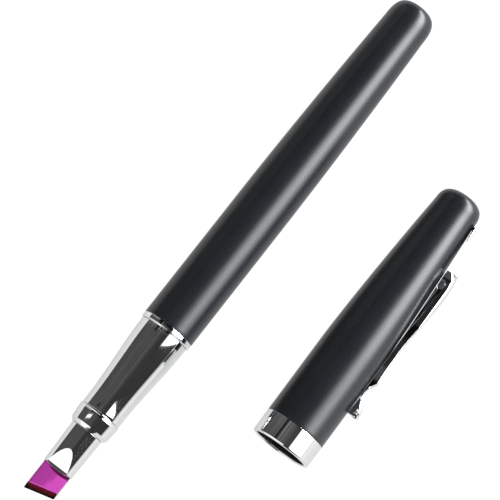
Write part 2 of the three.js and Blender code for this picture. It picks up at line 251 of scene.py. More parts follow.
def soft_edges(piece, width, angle=30):
    """Breaks the edges sharper than angle degrees with a small rounded bevel."""
    modifier = piece.modifiers.new("soft_edges", "BEVEL")
    modifier.width = width * MM
    modifier.segments = 2
    modifier.limit_method = "ANGLE"
    modifier.angle_limit = math.radians(angle)
    modifier.harden_normals = True
    return piece


def turned(name, profile, placement, closed=False, sides=SIDES, radius_of=None):
    """A piece turned about X. radius_of(x, radius, angle) may vary the radius, for a thread."""
    shape = bmesh.new()
    rings = []
    for x, radius in profile:
        if radius < 1e-5:
            rings.append([shape.verts.new((x * MM, 0, 0))])
            continue
        ring = []
        for k in range(sides):
            angle = 2 * math.pi * k / sides
            r = radius_of(x, radius, angle) if radius_of else radius
            y, z = -r * MM * math.sin(angle), r * MM * math.cos(angle)
            ring.append(shape.verts.new((x * MM, y, z)))
        rings.append(ring)
    pairs = list(zip(rings, rings[1:]))
    if closed:
        pairs.append((rings[-1], rings[0]))
    for first, second in pairs:
        if len(first) == len(second) == 1:
            continue
        for k in range(sides):
            after = (k + 1) % sides
            if len(first) == 1:
                shape.faces.new((first[0], second[after], second[k]))
            elif len(second) == 1:
                shape.faces.new((first[k], first[after], second[0]))
            else:
                shape.faces.new((first[k], first[after], second[after], second[k]))
    return to_object(name, shape, placement)


def block(low, high):
    """A box-shaped cutter in millimetres, as a bmesh."""
    shape = bmesh.new()
    bmesh.ops.create_cube(shape, size=1)
    for vert in shape.verts:
        for axis in range(3):
            middle = (low[axis] + high[axis]) / 2
            vert.co[axis] = (middle + vert.co[axis] * (high[axis] - low[axis])) * MM
    return shape


def baked(piece):
    """Turns the piece's modifiers into its mesh."""
    graph = bpy.context.evaluated_depsgraph_get()
    mesh = bpy.data.meshes.new_from_object(piece.evaluated_get(graph))
    piece.modifiers.clear()
    piece.data = mesh
    return piece


def cut(piece, *cutters, operation="DIFFERENCE", crease=CREASE):
    """Takes the cutters out of the piece, or joins them to it, one after another."""
    for index, shape in enumerate(cutters):
        tool = to_object(f"tool_{index}", shape, piece.matrix_world)
        bpy.context.view_layer.update()
        modifier = piece.modifiers.new("cut", "BOOLEAN")
        modifier.operation = operation
        modifier.solver = "EXACT"
        modifier.object = tool
        baked(piece)
        bpy.data.objects.remove(tool)
    return resmoothed(piece, crease)


def resmoothed(piece, crease):
    """Shades a piece again after its mesh has changed."""
    shape = bmesh.new()
    shape.from_mesh(piece.data)
    bmesh.ops.remove_doubles(shape, verts=shape.verts, dist=WELD)
    shade_smooth(shape, crease)
    shape.to_mesh(piece.data)
    shape.free()
    return piece


def finished(piece, body, node, material):
    """Gives the piece its material, its CAD body and the CAD node that it stands for."""
    piece.data.materials.clear()
    piece.data.materials.append(material)
    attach(piece, body)
    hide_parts(node)
    return piece


# ---- materials ----

class Nodes:
    """A short way to write one material's nodes. Object coordinates are in millimetres."""

    def __init__(self, name):
        self.material = bpy.data.materials.new(name)
        self.material.use_nodes = True
        self.tree = self.material.node_tree
        self.shader = self.tree.nodes["Principled BSDF"]
        place = self.add("ShaderNodeTexCoord")
        scale = self.add("ShaderNodeVectorMath", operation="SCALE")
        scale.inputs["Scale"].default_value = 1 / MM
        self.link(place.outputs["Object"], scale.inputs[0])
        self.place = scale.outputs[0]

    def add(self, kind, **settings):
        node = self.tree.nodes.new(kind)
        for key, value in settings.items():
            setattr(node, key, value)
        return node

    def link(self, output, socket):
        self.tree.links.new(output, socket)

    def stretched(self, scale):
        """The point's place, with each axis scaled."""
        mapping = self.add("ShaderNodeMapping")
        mapping.inputs["Scale"].default_value = scale
        self.link(self.place, mapping.inputs["Vector"])
        return mapping.outputs["Vector"]

    def noise(self, scale, detail=4, roughness=0.55, stretch=(1, 1, 1)):
        node = self.add("ShaderNodeTexNoise")
        node.inputs["Scale"].default_value = scale
        node.inputs["Detail"].default_value = detail
        node.inputs["Roughness"].default_value = roughness
        self.link(self.stretched(stretch), node.inputs["Vector"])
        return node.outputs["Fac"]

    def spread(self, value, low, high, start=0.3, end=0.7):
        """Carries value from the range start to end over to low to high, and stops there."""
        node = self.add("ShaderNodeMapRange")
        limits = {"From Min": start, "From Max": end, "To Min": low, "To Max": high}
        for key, number in limits.items():
            node.inputs[key].default_value = number
        self.link(value, node.inputs["Value"])
        return node.outputs["Result"]

    def colours(self, value, *stops):
        """A colour ramp; each stop is a position and a colour."""
        node = self.add("ShaderNodeValToRGB")
        ramp = node.color_ramp
        while len(ramp.elements) < len(stops):
            ramp.elements.new(0.5)
        for element, (position, colour) in zip(ramp.elements, stops):
            element.position = position
            element.color = (*colour, 1)
        self.link(value, node.inputs["Fac"])
        return node.outputs["Color"]

    def distance(self, direction, origin):
        """How far a point lies from origin along a direction, in millimetres."""
        away = self.add("ShaderNodeVectorMath", operation="SUBTRACT")
        away.inputs[1].default_value = origin
        self.link(self.place, away.inputs[0])
        along = self.add("ShaderNodeVectorMath", operation="DOT_PRODUCT")
        along.inputs[1].default_value = Vector(direction).normalized()
        self.link(away.outputs[0], along.inputs[0])
        return along.outputs["Value"]

    def radius(self, centre):
        """How far a point lies from a centre, in millimetres."""
        away = self.add("ShaderNodeVectorMath", operation="DISTANCE")
        away.inputs[1].default_value = centre
        self.link(self.place, away.inputs[0])
        return away.outputs["Value"]

    def calc(self, operation, first, second):
        node = self.add("ShaderNodeMath", operation=operation)
        self.link(first, node.inputs[0])
        self.link(second, node.inputs[1])
        return node.outputs[0]

    def sum(self, first, second):
        return self.calc("ADD", first, second)

    def product(self, first, second):
        return self.calc("MULTIPLY", first, second)

    def mix(self, share, first, second):
        """Colours first to second as share goes from nought to one."""
        node = self.add("ShaderNodeMix", data_type="RGBA")
        self.link(share, node.inputs["Factor"])
        self.link(first, node.inputs[6])
        self.link(second, node.inputs[7])
        return node.outputs[2]

    def bump(self, height, strength, distance, below=None):
        node = self.add("ShaderNodeBump")
        node.inputs["Strength"].default_value = strength
        node.inputs["Distance"].default_value = distance * MM
        self.link(height, node.inputs["Height"])
        if below is not None:
            self.link(below, node.inputs["Normal"])
        return node.outputs["Normal"]

    def set(self, **values):
        """Sets or links the shader's sockets; underscores in a key stand for spaces."""
        for key, value in values.items():
            socket = self.shader.inputs[key.replace("_", " ")]
            if isinstance(value, bpy.types.NodeSocket):
                self.link(value, socket)
            else:
                socket.default_value = value
        return self.material


def black_lacquer():
    """Satin lacquer: faint orange peel, a slightly uneven sheen and a few fine rub marks."""
    n = Nodes("black_lacquer")
    cloud = n.noise(0.12, detail=3)
    grain = n.noise(9.0, detail=2)
    rubs = n.noise(2.2, detail=6, roughness=0.7, stretch=(0.06, 1, 1))
    peel = n.bump(n.noise(1.6, detail=2), 0.05, 0.02)
    fine = n.bump(grain, 0.06, 0.01, below=peel)
    dark, light = (0.0095, 0.0115, 0.0142), (0.0122, 0.0145, 0.0172)
    return n.set(
        Base_Color=n.colours(cloud, (0.3, dark), (0.7, light)),
        Roughness=n.spread(rubs, 0.25, 0.31),
        IOR=1.5,
        Normal=fine,
    )


def chrome(name, waviness=0.03, hairline=0.03, roughness=(0.03, 0.06)):
    """Polished plating: long soft ripples from buffing and faint hairlines along the piece."""
    n = Nodes(name)
    ripple = n.bump(n.noise(0.35, detail=1, stretch=(0.6, 1, 1)), waviness, 0.25)
    hair = n.noise(7.0, detail=5, roughness=0.75, stretch=(0.05, 1, 1))
    tint = n.noise(0.2, detail=2)
    return n.set(
        Base_Color=n.colours(tint, (0.3, (0.80, 0.81, 0.825)), (0.7, (0.86, 0.865, 0.87))),
        Metallic=1.0,
        Roughness=n.spread(hair, *roughness),
        Normal=n.bump(hair, hairline, 0.01, below=ripple),
    )


def violet_crystal():
    """Clear violet crystal, with painted light in one corner, painted shade at its root and a
    painted highlight behind a ground bevel that is darkened with painted shade.

    to_edge is the distance from the cutting edge; the bevel's painted shade is darkest at its rim.
    """
    n = Nodes("violet_crystal")
    across_edge = (math.cos(BLADE_SKEW), math.sin(BLADE_SKEW), 0)
    to_edge = n.distance(across_edge, (BLADE_TIP_MIDDLE, 0, 0))
    ground = n.spread(to_edge, 1, 0, start=BEVEL_LENGTH - 0.06, end=BEVEL_LENGTH)
    # Painted light: the crystal is paler towards one corner, and the edge of that patch wavers.
    corner = n.distance((-0.35, -1, 0), (-36.0, -0.2, 0))
    cloud = n.noise(0.5, detail=2)
    painted_light_zone = n.spread(n.sum(corner, n.spread(cloud, -0.6, 0.6)), 0, 1, start=-0.1, end=0.9)
    # Painted highlight: a pale line just behind the bevel's top edge.
    painted_edge_highlight = n.spread(to_edge, 1, 0, start=BEVEL_LENGTH + 0.1, end=BEVEL_LENGTH + 0.35)
    body = n.colours(n.sum(painted_light_zone, painted_edge_highlight), (0.0, (0.64, 0.50, 0.62)), (1.0, (0.93, 0.9, 0.93)))
    # Painted shade: the blade is dark purple inside the holder and in a curved crescent just past
    # the holder's end.
    root_shade_centre, root_shade_radius = (HOLDER_END + 7.0, -0.9, 0), 8.0
    root = n.spread(n.radius(root_shade_centre), 1, 0, start=root_shade_radius, end=root_shade_radius + 0.2)
    # Painted shade on the ground bevel: near black at the cutting edge and at both sides of the
    # blade, dark maroon between.
    long_side = n.spread(n.distance((0, 1, 0), (0, 0, 0)), 1, 0, start=1.9, end=2.9)
    short_side = n.spread(n.distance((0, -1, 0), (0, 0, 0)), 1, 0, start=2.4, end=2.8)
    down_bevel = n.spread(to_edge, 0, 1, start=0.1, end=BEVEL_LENGTH)
    depth = n.product(n.product(down_bevel, long_side), short_side)
    bevel_shade = n.colours(
        depth,
        (0.05, (0.004, 0.001, 0.001)),
        (0.35, (0.07, 0.006, 0.004)),
        (0.9, (0.14, 0.0, 0.02)),
    )
    # The dark purple of the painted shade at the blade's root.
    socket = n.colours(n.noise(0.8), (0.3, (0.10, 0.01, 0.06)), (0.7, (0.16, 0.02, 0.10)))
    absorb = n.add("ShaderNodeVolumeAbsorption")
    absorb.inputs["Color"].default_value = (0.88, 0.01, 0.787, 1)
    absorb.inputs["Density"].default_value = 1500    # per metre
    output = next(node for node in n.tree.nodes if node.type == "OUTPUT_MATERIAL")
    n.link(absorb.outputs[0], output.inputs["Volume"])
    return n.set(
        Base_Color=n.mix(ground, n.mix(root, body, socket), bevel_shade),
        Roughness=n.spread(n.noise(3.0), 0.02, 0.05),
        IOR=1.76,
        Transmission_Weight=n.spread(ground, 1.0, 0.15, start=0, end=1),
    )


def turned_metal(name, dark, light, lines):
    """Bare turned metal: rings from the tool round the axis."""
    n = Nodes(name)
    rings = n.noise(lines, detail=3, stretch=(1, 0.02, 0.02))
    return n.set(
        Base_Color=n.colours(n.noise(0.5), (0.3, dark), (0.7, light)),
        Metallic=1.0,
        Roughness=n.spread(rings, 0.22, 0.4),
        Normal=n.bump(rings, 0.2, 0.02),
    )


def black_plastic():
    """Moulded plastic with a fine dull grain."""
    n = Nodes("black_plastic")
    grain = n.noise(6.0, detail=3)
    dark, light = (0.008, 0.008, 0.009), (0.012, 0.012, 0.013)
    return n.set(
        Base_Color=n.colours(n.noise(0.3), (0.3, dark), (0.7, light)),
        Roughness=n.spread(grain, 0.42, 0.58),
        Normal=n.bump(grain, 0.1, 0.02),
    )


LACQUER = black_lacquer()
CHROME = chrome("chrome")
SHEET_CHROME = chrome("sheet_chrome", waviness=0.0, hairline=0.0)
CRYSTAL = violet_crystal()
BRASS = turned_metal("turned_brass", (0.42, 0.27, 0.09), (0.58, 0.40, 0.15), 5.0)
STEEL = turned_metal("plain_steel", (0.34, 0.34, 0.36), (0.46, 0.46, 0.48), 4.0)
PLASTIC = black_plastic()


# ---- the pen ----

def barrel_radius(x):
    """The barrel is straight, then tapers ever faster towards its tail."""
    along = max(0.0, (x - TAPER_START) / (DOME_START - TAPER_START))
    return BARREL_RADIUS - (BARREL_RADIUS - DOME_RADIUS) * along ** 1.8


def make_barrel():
    end_wall = 1.2
    inner_nose = 2.2
    floor = BARREL_LENGTH - end_wall
    inside = stretch(lambda x: barrel_radius(x) - WALL, TAPER_START, DOME_START, 12)
    profile = [(floor, 0), (floor, inner_nose), (floor - 1.6, inner_nose + 1.3), *reversed(inside)]
    mouth = rounded([
        (0.6, BARREL_RADIUS - WALL),
        (0, BARREL_RADIUS - WALL, 0.05),
        (0, BARREL_RADIUS, 0.1),
        (0.6, BARREL_RADIUS),
    ])
    profile += mouth + [(4, BARREL_RADIUS), (16, BARREL_RADIUS)]
    profile += stretch(barrel_radius, TAPER_START, DOME_START, 30)
    profile += dome(DOME_START, DOME_RADIUS, BARREL_LENGTH, DOME_BLUNTNESS)
    piece = turned("barrel_skin", profile, PEN)
    return finished(piece, "barrel", "barrel_shell", LACQUER)


def make_bush():
    bore = THREAD_RADIUS + FIT
    outside = BARREL_RADIUS - WALL - FIT
    profile = rounded([
        (0.2, bore, 0.2),
        (0.2, outside, 0.1),
        (BUSH_LENGTH, outside, 0.1),
        (BUSH_LENGTH, bore, 0.1),
    ])
    piece = turned("thread_bush", profile, PEN, closed=True, sides=HIDDEN_SIDES)
    return finished(piece, "barrel", "barrel_thread_bush", BRASS)


def make_trim_ring():
    front = RING_FRONT + FACE_GAP
    rear = -FACE_GAP
    chamfer = 0.2
    profile = rounded([
        (front, THREAD_RADIUS + FIT),
        (front, BARREL_RADIUS - chamfer, 0.04),
        (front + chamfer, BARREL_RADIUS, 0.1),
        (rear, BARREL_RADIUS, 0.1),
        (rear, THREAD_RADIUS + FIT),
    ])
    piece = weighted_normals(turned("trim_ring_polished", profile, PEN, closed=True))
    return finished(piece, "ring", "trim_ring", CHROME)


def grip_radius(x):
    """The grip swells towards the ring in an S curve."""
    along = min(1.0, max(0.0, (x - FLARE_START) / (RING_FRONT - FLARE_START)))
    return GRIP_FRONT_RADIUS + (GRIP_REAR_RADIUS - GRIP_FRONT_RADIUS) * along ** 2 * (3 - 2 * along)


def make_grip():
    front = COLLAR_REAR + FACE_GAP
    edge = 0.08
    profile = rounded([
        (RING_FRONT, GRIP_REAR_RADIUS, edge),
        (RING_FRONT, GRIP_BORE, edge),
        (front, GRIP_BORE, edge),
        (front, GRIP_FRONT_RADIUS, edge),
    ])
    profile += [(front + 0.6, GRIP_FRONT_RADIUS)]
    profile += stretch(grip_radius, FLARE_START, RING_FRONT - 0.3, 48)
    piece = weighted_normals(turned("grip_sleeve", profile, PEN, closed=True))
    return finished(piece, "section", "grip_section", CHROME)


def make_core():
    """The brass core, with a true helical thread on its rear shank."""
    front = COLLAR_REAR + FACE_GAP + 0.3
    shoulder = RING_FRONT + FACE_GAP
    thread_start = shoulder + THREAD_RUNOUT
    root = THREAD_RADIUS - THREAD_DEPTH
    steps_per_turn = 14
    threaded = THREAD_END - shoulder - THREAD_RUNOUT
    steps = int(threaded / THREAD_PITCH * steps_per_turn)
    shank = stretch(lambda x: THREAD_RADIUS, thread_start, THREAD_END - 0.4, steps)
    profile = [
        (front, SHANK_RADIUS + FIT),
        (front, GRIP_BORE - FIT - 0.3),
        (front + 0.3, GRIP_BORE - FIT),
        (shoulder, GRIP_BORE - FIT),
        (shoulder, root),
        *shank,
        (THREAD_END, THREAD_RADIUS - 0.4),
        (THREAD_END, COUNTERBORE),
        (NUT_SEAT, COUNTERBORE),
        (NUT_SEAT, SHANK_RADIUS + FIT),
    ]

    def thread(x, radius, angle):
        if radius < THREAD_RADIUS - 1e-6:
            return radius
        phase = (x / THREAD_PITCH + angle / (2 * math.pi)) % 1
        flank = abs(2 * phase - 1)
        to_ends = min(x - shoulder - THREAD_RUNOUT, THREAD_END - x)
        fade = max(0.0, min(1.0, to_ends / THREAD_PITCH))
        return root + THREAD_DEPTH * fade * min(1.0, flank * 1.25)

    piece = turned(
        "section_core_threaded", profile, PEN, closed=True, sides=HIDDEN_SIDES, radius_of=thread)
    return finished(piece, "section", "section_core", BRASS)


def collar_radius(x):
    """The collar widens towards the rear, a little less steeply the further it goes."""
    along = (x - COLLAR_FRONT) / (COLLAR_REAR - COLLAR_FRONT)
    return COLLAR_FRONT_RADIUS - 0.04 + 0.37 * along * (1.2 - 0.2 * along)


def make_collar():
    rear = COLLAR_REAR - FACE_GAP
    rim = 0.18
    profile = rounded([
        (rear, SHANK_RADIUS + FIT),
        (COLLAR_FRONT, SHANK_RADIUS + FIT),
        (COLLAR_FRONT, COLLAR_FRONT_RADIUS - 0.8 * COLLAR_CHAMFER, 0.08),
        (COLLAR_FRONT + COLLAR_CHAMFER, collar_radius(COLLAR_FRONT + COLLAR_CHAMFER), 0.12),
        (rear - 0.6, collar_radius(rear - 0.6)),
    ])[:-1]
    profile += stretch(collar_radius, COLLAR_FRONT + COLLAR_CHAMFER + 0.15, rear - 0.65, 24)
    profile += rounded([
        (rear - 0.6, collar_radius(rear - 0.6)),
        (rear - 0.34, COLLAR_REAR_RADIUS - 0.09, 0.1),
        (rear - 0.22, COLLAR_REAR_RADIUS + 0.03, 0.05),
        (rear, COLLAR_REAR_RADIUS + 0.03, rim / 2),
        (rear, GRIP_FRONT_RADIUS - 0.05),
        (rear, SHANK_RADIUS + FIT),
    ])[1:-1]
    piece = weighted_normals(turned("collar_polished", profile, PEN, closed=True))
    return finished(piece, "section", "nose_collar", CHROME)


def make_holder():
    """The round holder, with the blade's slot and the flat ground on top of its bowed end."""
    shoulder = COLLAR_FRONT - FACE_GAP
    flare = HOLDER_RADIUS - HOLDER_TIP_RADIUS

    def radius(x):
        return HOLDER_TIP_RADIUS + flare * (x - HOLDER_END) / (shoulder - HOLDER_END)

    quarter = [math.pi / 2 * k / 16 for k in range(16)]
    profile = [
        (HOLDER_END - HOLDER_BOW * math.cos(a), HOLDER_TIP_RADIUS * math.sin(a)) for a in quarter]
    profile += stretch(radius, HOLDER_END, shoulder - 0.15, 12)
    profile += rounded([
        (shoulder - 0.2, radius(shoulder)),
        (shoulder, radius(shoulder), 0.08),
        (shoulder, SHANK_RADIUS),
        (SHANK_END, SHANK_RADIUS, 0.25),
        (SHANK_END, 0),
    ])[1:]
    piece = turned("holder_polished", profile, PEN)
    width = BLADE_WIDTH / 2 + BLADE_CLEARANCE
    height = BLADE_THICKNESS / 2 + BLADE_CLEARANCE
    slot = block((HOLDER_END - 1, -width, -height), (BLADE_ROOT + 0.2, width, height))
    aside = 3 * HOLDER_RADIUS    # past the holder on both sides
    above = 4                    # past the holder's top
    flat = block((-2 * FACET_LENGTH, -aside, 0), (1.5 * FACET_LENGTH, aside, above))
    slope = math.atan2(FACET_DEPTH, FACET_LENGTH)
    move = Matrix.Translation((HOLDER_END * MM, 0, (HOLDER_TIP_RADIUS - FACET_DEPTH) * MM))
    flat.transform(move @ Matrix.Rotation(-slope, 4, "Y"))
    front = block((-4, -aside, 0), (0, aside, above))
    front.transform(move @ Matrix.Rotation(-math.radians(FACET_BEVEL), 4, "Y"))
    cut(piece, slot, flat, front, crease=9)
    soft_edges(piece, 0.035)
    return finished(piece, "section", "blade_holder", CHROME)


def make_blade():
    """A flat plate with a skewed edge bevelled from both faces, and small polished chamfers."""
    half = BLADE_WIDTH / 2
    thick = BLADE_THICKNESS / 2
    chamfer = BLADE_CHAMFER
    edge = EDGE_HALF_THICKNESS
    low = thick - chamfer
    share = (low - edge) / (thick - edge)
    bevel = BEVEL_LENGTH / math.cos(BLADE_SKEW)

    def tip(y):
        return BLADE_TIP_MIDDLE - y * math.tan(BLADE_SKEW)

    corners = []
    for z_side in (-1, 1):
        for y_side in (-1, 1):
            outer, inner = y_side * half, y_side * (half - chamfer)
            corners += [
                (BLADE_ROOT, inner, z_side * low),
                (BLADE_ROOT - chamfer, inner, z_side * thick),
                (BLADE_ROOT - chamfer, outer, z_side * low),
                (tip(inner) + bevel, inner, z_side * thick),
                (tip(outer) + bevel * share, outer, z_side * low),
                (tip(outer), outer, z_side * edge),
            ]
    shape = bmesh.new()
    for corner in corners:
        shape.verts.new(Vector(corner) * MM)
    bmesh.ops.convex_hull(shape, input=shape.verts)
    bmesh.ops.dissolve_limit(shape, angle_limit=0.01, verts=shape.verts, edges=shape.edges)
    piece = to_object("violet_blade", shape, PEN, crease=5)
    soft_edges(piece, 0.03, angle=8)
    return finished(piece, "section", "blade", CRYSTAL)


# ---- the cap ----

def cap_radius(x):
    """The cap is straight, then tapers ever faster towards its closed end."""
    along = max(0.0, (x - CAP_TAPER_START) / (CAP_DOME_START - CAP_TAPER_START))
    return CAP_RADIUS - (CAP_RADIUS - CAP_DOME_RADIUS) * along ** 1.45


def make_cap_shell():
    """The cap's tube, stepped at the mouth for the band and slotted for the clip's tongue."""
    step_start = 1.4
    end_wall = 1.4
    floor = CAP_LENGTH - end_wall
    edge = BAND_LENGTH + FACE_GAP
    inside = stretch(lambda x: cap_radius(x) - CAP_WALL, CAP_TAPER_START, CAP_DOME_START, 16)
    profile = [(floor, 0), (floor, CAP_FLAT_RADIUS), (floor - 0.7, CAP_FLAT_RADIUS + 1.1)]
    profile += reversed(inside)
    profile += [
        (step_start, CAP_RADIUS - CAP_WALL),
        (step_start, BAND_STEP_RADIUS),
        (edge, BAND_STEP_RADIUS),
    ]
    profile += rounded([
        (edge, BAND_STEP_RADIUS),
        (edge, CAP_RADIUS, 0.08),
        (edge + 0.5, CAP_RADIUS),
    ])[1:]
    profile += [(12, CAP_RADIUS)] + stretch(cap_radius, CAP_TAPER_START, CAP_DOME_START, 30)
    profile += dome(CAP_DOME_START, CAP_DOME_RADIUS, CAP_LENGTH, CAP_DOME_BLUNTNESS)
    piece = turned("cap_skin", profile, CAP)
    half_thickness = TONGUE_THICKNESS / 2 + TONGUE_CLEARANCE
    half_width = TONGUE_WIDTH / 2 + FIT
    slot = block(
        (TONGUE_X - half_thickness, -CAP_RADIUS - 1, -half_width),
        (TONGUE_X + half_thickness, -TONGUE_DEPTH + TONGUE_CLEARANCE, half_width),
    )
    cut(piece, slot)
    return finished(piece, "cap", "cap_shell", LACQUER)


def make_band():
    """The bright band, with a rolled lip at the mouth."""
    lip_radius = 5.45
    profile = rounded([
        (1.2, BAND_STEP_RADIUS + FIT),
        (1.2, lip_radius, 0.1),
        (0, lip_radius, 0.28),
        (0, CAP_RADIUS, 0.38),
        (BAND_LENGTH, CAP_RADIUS, 0.08),
        (BAND_LENGTH, BAND_STEP_RADIUS + FIT),
    ])
    piece = weighted_normals(turned("band_polished", profile, CAP, closed=True))
    return finished(piece, "cap", "cap_band", CHROME)


def make_liner():
    def outside(x):
        return cap_radius(x) - CAP_WALL - FIT

    def inside(x):
        return min(LINER_BORE, outside(x) - LINER_WALL)

    floor = LINER_END - 1
    bore = stretch(inside, CAP_TAPER_START, floor - 4, 10)
    profile = [(floor, 0), (floor, 3.4), (floor - 1.2, outside(floor) - LINER_WALL)]
    profile += reversed(bore)
    profile += rounded([
        (LINER_MOUTH + 1, LINER_BORE),
        (LINER_MOUTH, LINER_BORE, 0.12),
        (LINER_MOUTH, outside(0), 0.1),
        (LINER_MOUTH + 1, outside(0)),
    ])
    profile += stretch(outside, CAP_TAPER_START, LINER_END, 12) + [(LINER_END, 0)]
    piece = turned("liner_moulded", profile, CAP)
    return finished(piece, "cap", "cap_liner", PLASTIC)


def spline(points, per_span):
    """Points of a uniform Catmull-Rom curve."""
    ends = [points[0], *points, points[-1]]
    samples = [points[0]]
    for a, b, c, d in zip(ends, ends[1:], ends[2:], ends[3:]):
        a, b, c, d = Vector(a), Vector(b), Vector(c), Vector(d)
        for step in range(1, per_span + 1):
            t = step / per_span
            square = (2 * a - 5 * b + 4 * c - d) * t ** 2
            cube = (3 * b - a - 3 * c + d) * t ** 3
            samples.append(tuple((2 * b + (c - a) * t + square + cube) / 2))
    return samples


def table_value(table, x):
    """Straight-line reading of a table of (x, value) rows whose x falls."""
    if x >= table[0][0]:
        return table[0][1]
    for (x0, v0), (x1, v1) in zip(table, table[1:]):
        if x >= x1:
            return v1 + (v0 - v1) * (x - x1) / (x0 - x1)
    return table[-1][1]


# how the clip's section changes from root to tip: (station, value), the leans in degrees and
# the rest in millimetres; fold lines and edges are distances from the cap's axis
CLIP_HALF_WIDTH = [
    (56.6, 1.6), (56.2, 1.95), (55.4, 2.1), (52, 2.2), (44, 2.2), (20.5, 1.62), (19.45, 1.55),
    (17.3, 1.5), (15.6, 1.45), (14, 1.4), (13, 0.9),
]
CLIP_FOLD_LINE = [
    (46.2, 6.62), (45, 7.52), (43, 7.76), (38, 7.76), (34, 7.76), (30.2, 7.5), (27.4, 7.38),
    (24.2, 7.42), (20.8, 7.6), (20.5, 7.5), (19.45, 6.8), (17.3, 6.72), (15.6, 7.3), (14.2, 8.0),
    (13.6, 7.9), (13, 7.4),
]
CLIP_CROWN = [(52, 0), (46, 0.12), (40, 0.2), (34, 0.04), (20, 0.04), (13, 0.05)]
CLIP_LEAN = [(52.8, -10), (52.5, -24), (46.3, -24), (46.2, 12), (13, 12)]
CLIP_TOP_EDGE = [
    (45, 5.62), (43.6, 7.0), (40, 6.82), (35.8, 6.6), (32.2, 6.2), (19.5, 6.25), (17.3, 6.25),
    (15.6, 6.9), (14.9, 7.2), (13.9, 7.35), (13, 7.36),
]
CLIP_PAD = [(17.2, 6.4), (13.05, 6.31), (13.05, 7.7), (14.4, 7.7), (15.6, 7.15)]


def clip_flank(x, out, free_edge, lean, edge_radius):
    """The outside of one flank from its free edge up to the crown, and its inside back down."""
    half = table_value(CLIP_HALF_WIDTH, x)
    crown = table_value(CLIP_CROWN, x)
    first = math.radians(BEND_START)
    fold = CLIP_FOLD
    if x <= FLANGE_FROM:
        fold_line = table_value(CLIP_FOLD_LINE, x)
        fold = max(0.05, (out - crown - fold_line) / (1 - math.sin(first)))
    fold = min(fold, 0.9 * half)
    centre = Vector((out - crown - fold, half - fold))
    steps = 8
    angles = [first + (math.pi / 2 - first) * k / steps for k in range(steps + 1)]
    bend = [centre + fold * Vector((math.sin(a), math.cos(a))) for a in angles]
    reach = max(0.05, (bend[0].x - free_edge) / math.cos(lean))
    down = Vector((-math.cos(lean), -math.sin(lean)))
    inward = Vector((0, -1))
    if x <= FLANGE_FROM:
        inward = Vector((math.sin(lean), -math.cos(lean)))
    soft = min(edge_radius, reach / 3)
    sheet = min(CLIP_SHEET, 0.4 * half)
    edge = bend[0] + down * reach
    outside = [edge + inward * soft, edge + (inward - down) * 0.3 * soft]
    outside += [bend[0] + down * (reach - soft) * k / 3 for k in (3, 2, 1)] + bend
    inner_edge = edge + inward * sheet
    heel = Vector((out - CLIP_SHEET - crown, 0))
    heel.y = min(half - sheet, inner_edge.y + (heel.x - inner_edge.x) * math.tan(lean))
    if heel.x < inner_edge.x + 0.02:
        heel = inner_edge + Vector((0.02, 0))
    return outside, [heel.lerp(inner_edge, k / 3) for k in range(4)]


def clip_section(x, out):
    """One closed outline across the clip, as (distance from the cap's axis, height) points."""
    lean = math.radians(table_value(CLIP_LEAN, x))
    lowest = out - CLIP_SHEET
    thin_rim, thick_rim = 0.02, 0.12
    if x > FLANGE_FROM:
        top_outside, top_inside = clip_flank(x, out, lowest, lean, thin_rim)
        low_outside, low_inside = top_outside, top_inside
    else:
        top_edge = table_value(CLIP_TOP_EDGE, x)
        rim = thick_rim if x < RIM_FROM else thin_rim
        top_outside, top_inside = clip_flank(x, out, min(lowest, top_edge), lean, rim)
        meets_cap_at = 1.2       # height at which the lower flank comes down on the cap
        on_cap = math.sqrt(cap_radius(x) ** 2 - meets_cap_at ** 2) + FIT
        low_edge = on_cap if x > FLANGE_TO else top_edge
        low_lean = math.radians(FLANGE_LEAN)
        low_outside, low_inside = clip_flank(x, out, min(lowest, low_edge), low_lean, thin_rim)
    crown = table_value(CLIP_CROWN, x)
    half_steps = 8
    width = top_outside[-1].y
    crest = []
    for step in range(1, half_steps * 2):
        z = width * (1 - step / half_steps)
        crest.append((out - crown * (z / width) ** 2, z))
    outline = [tuple(p) for p in top_outside] + crest
    outline += [(p.x, -p.y) for p in reversed(low_outside)]
    outline += [(p.x, -p.y) for p in reversed(low_inside)]
    outline += [(lowest, 0)] + [tuple(p) for p in top_inside]
    return outline


def clip_pad():
    """The solid pad under the clip's tip, narrower where it touches the cap."""
    shape = bmesh.new()
    for x, out in CLIP_PAD:
        half = 0.85 + 0.34 * (out - CLIP_PAD[0][1])
        for z in (-half, half):
            shape.verts.new(Vector((x, -out, z)) * MM)
    bmesh.ops.convex_hull(shape, input=shape.verts)
    return shape


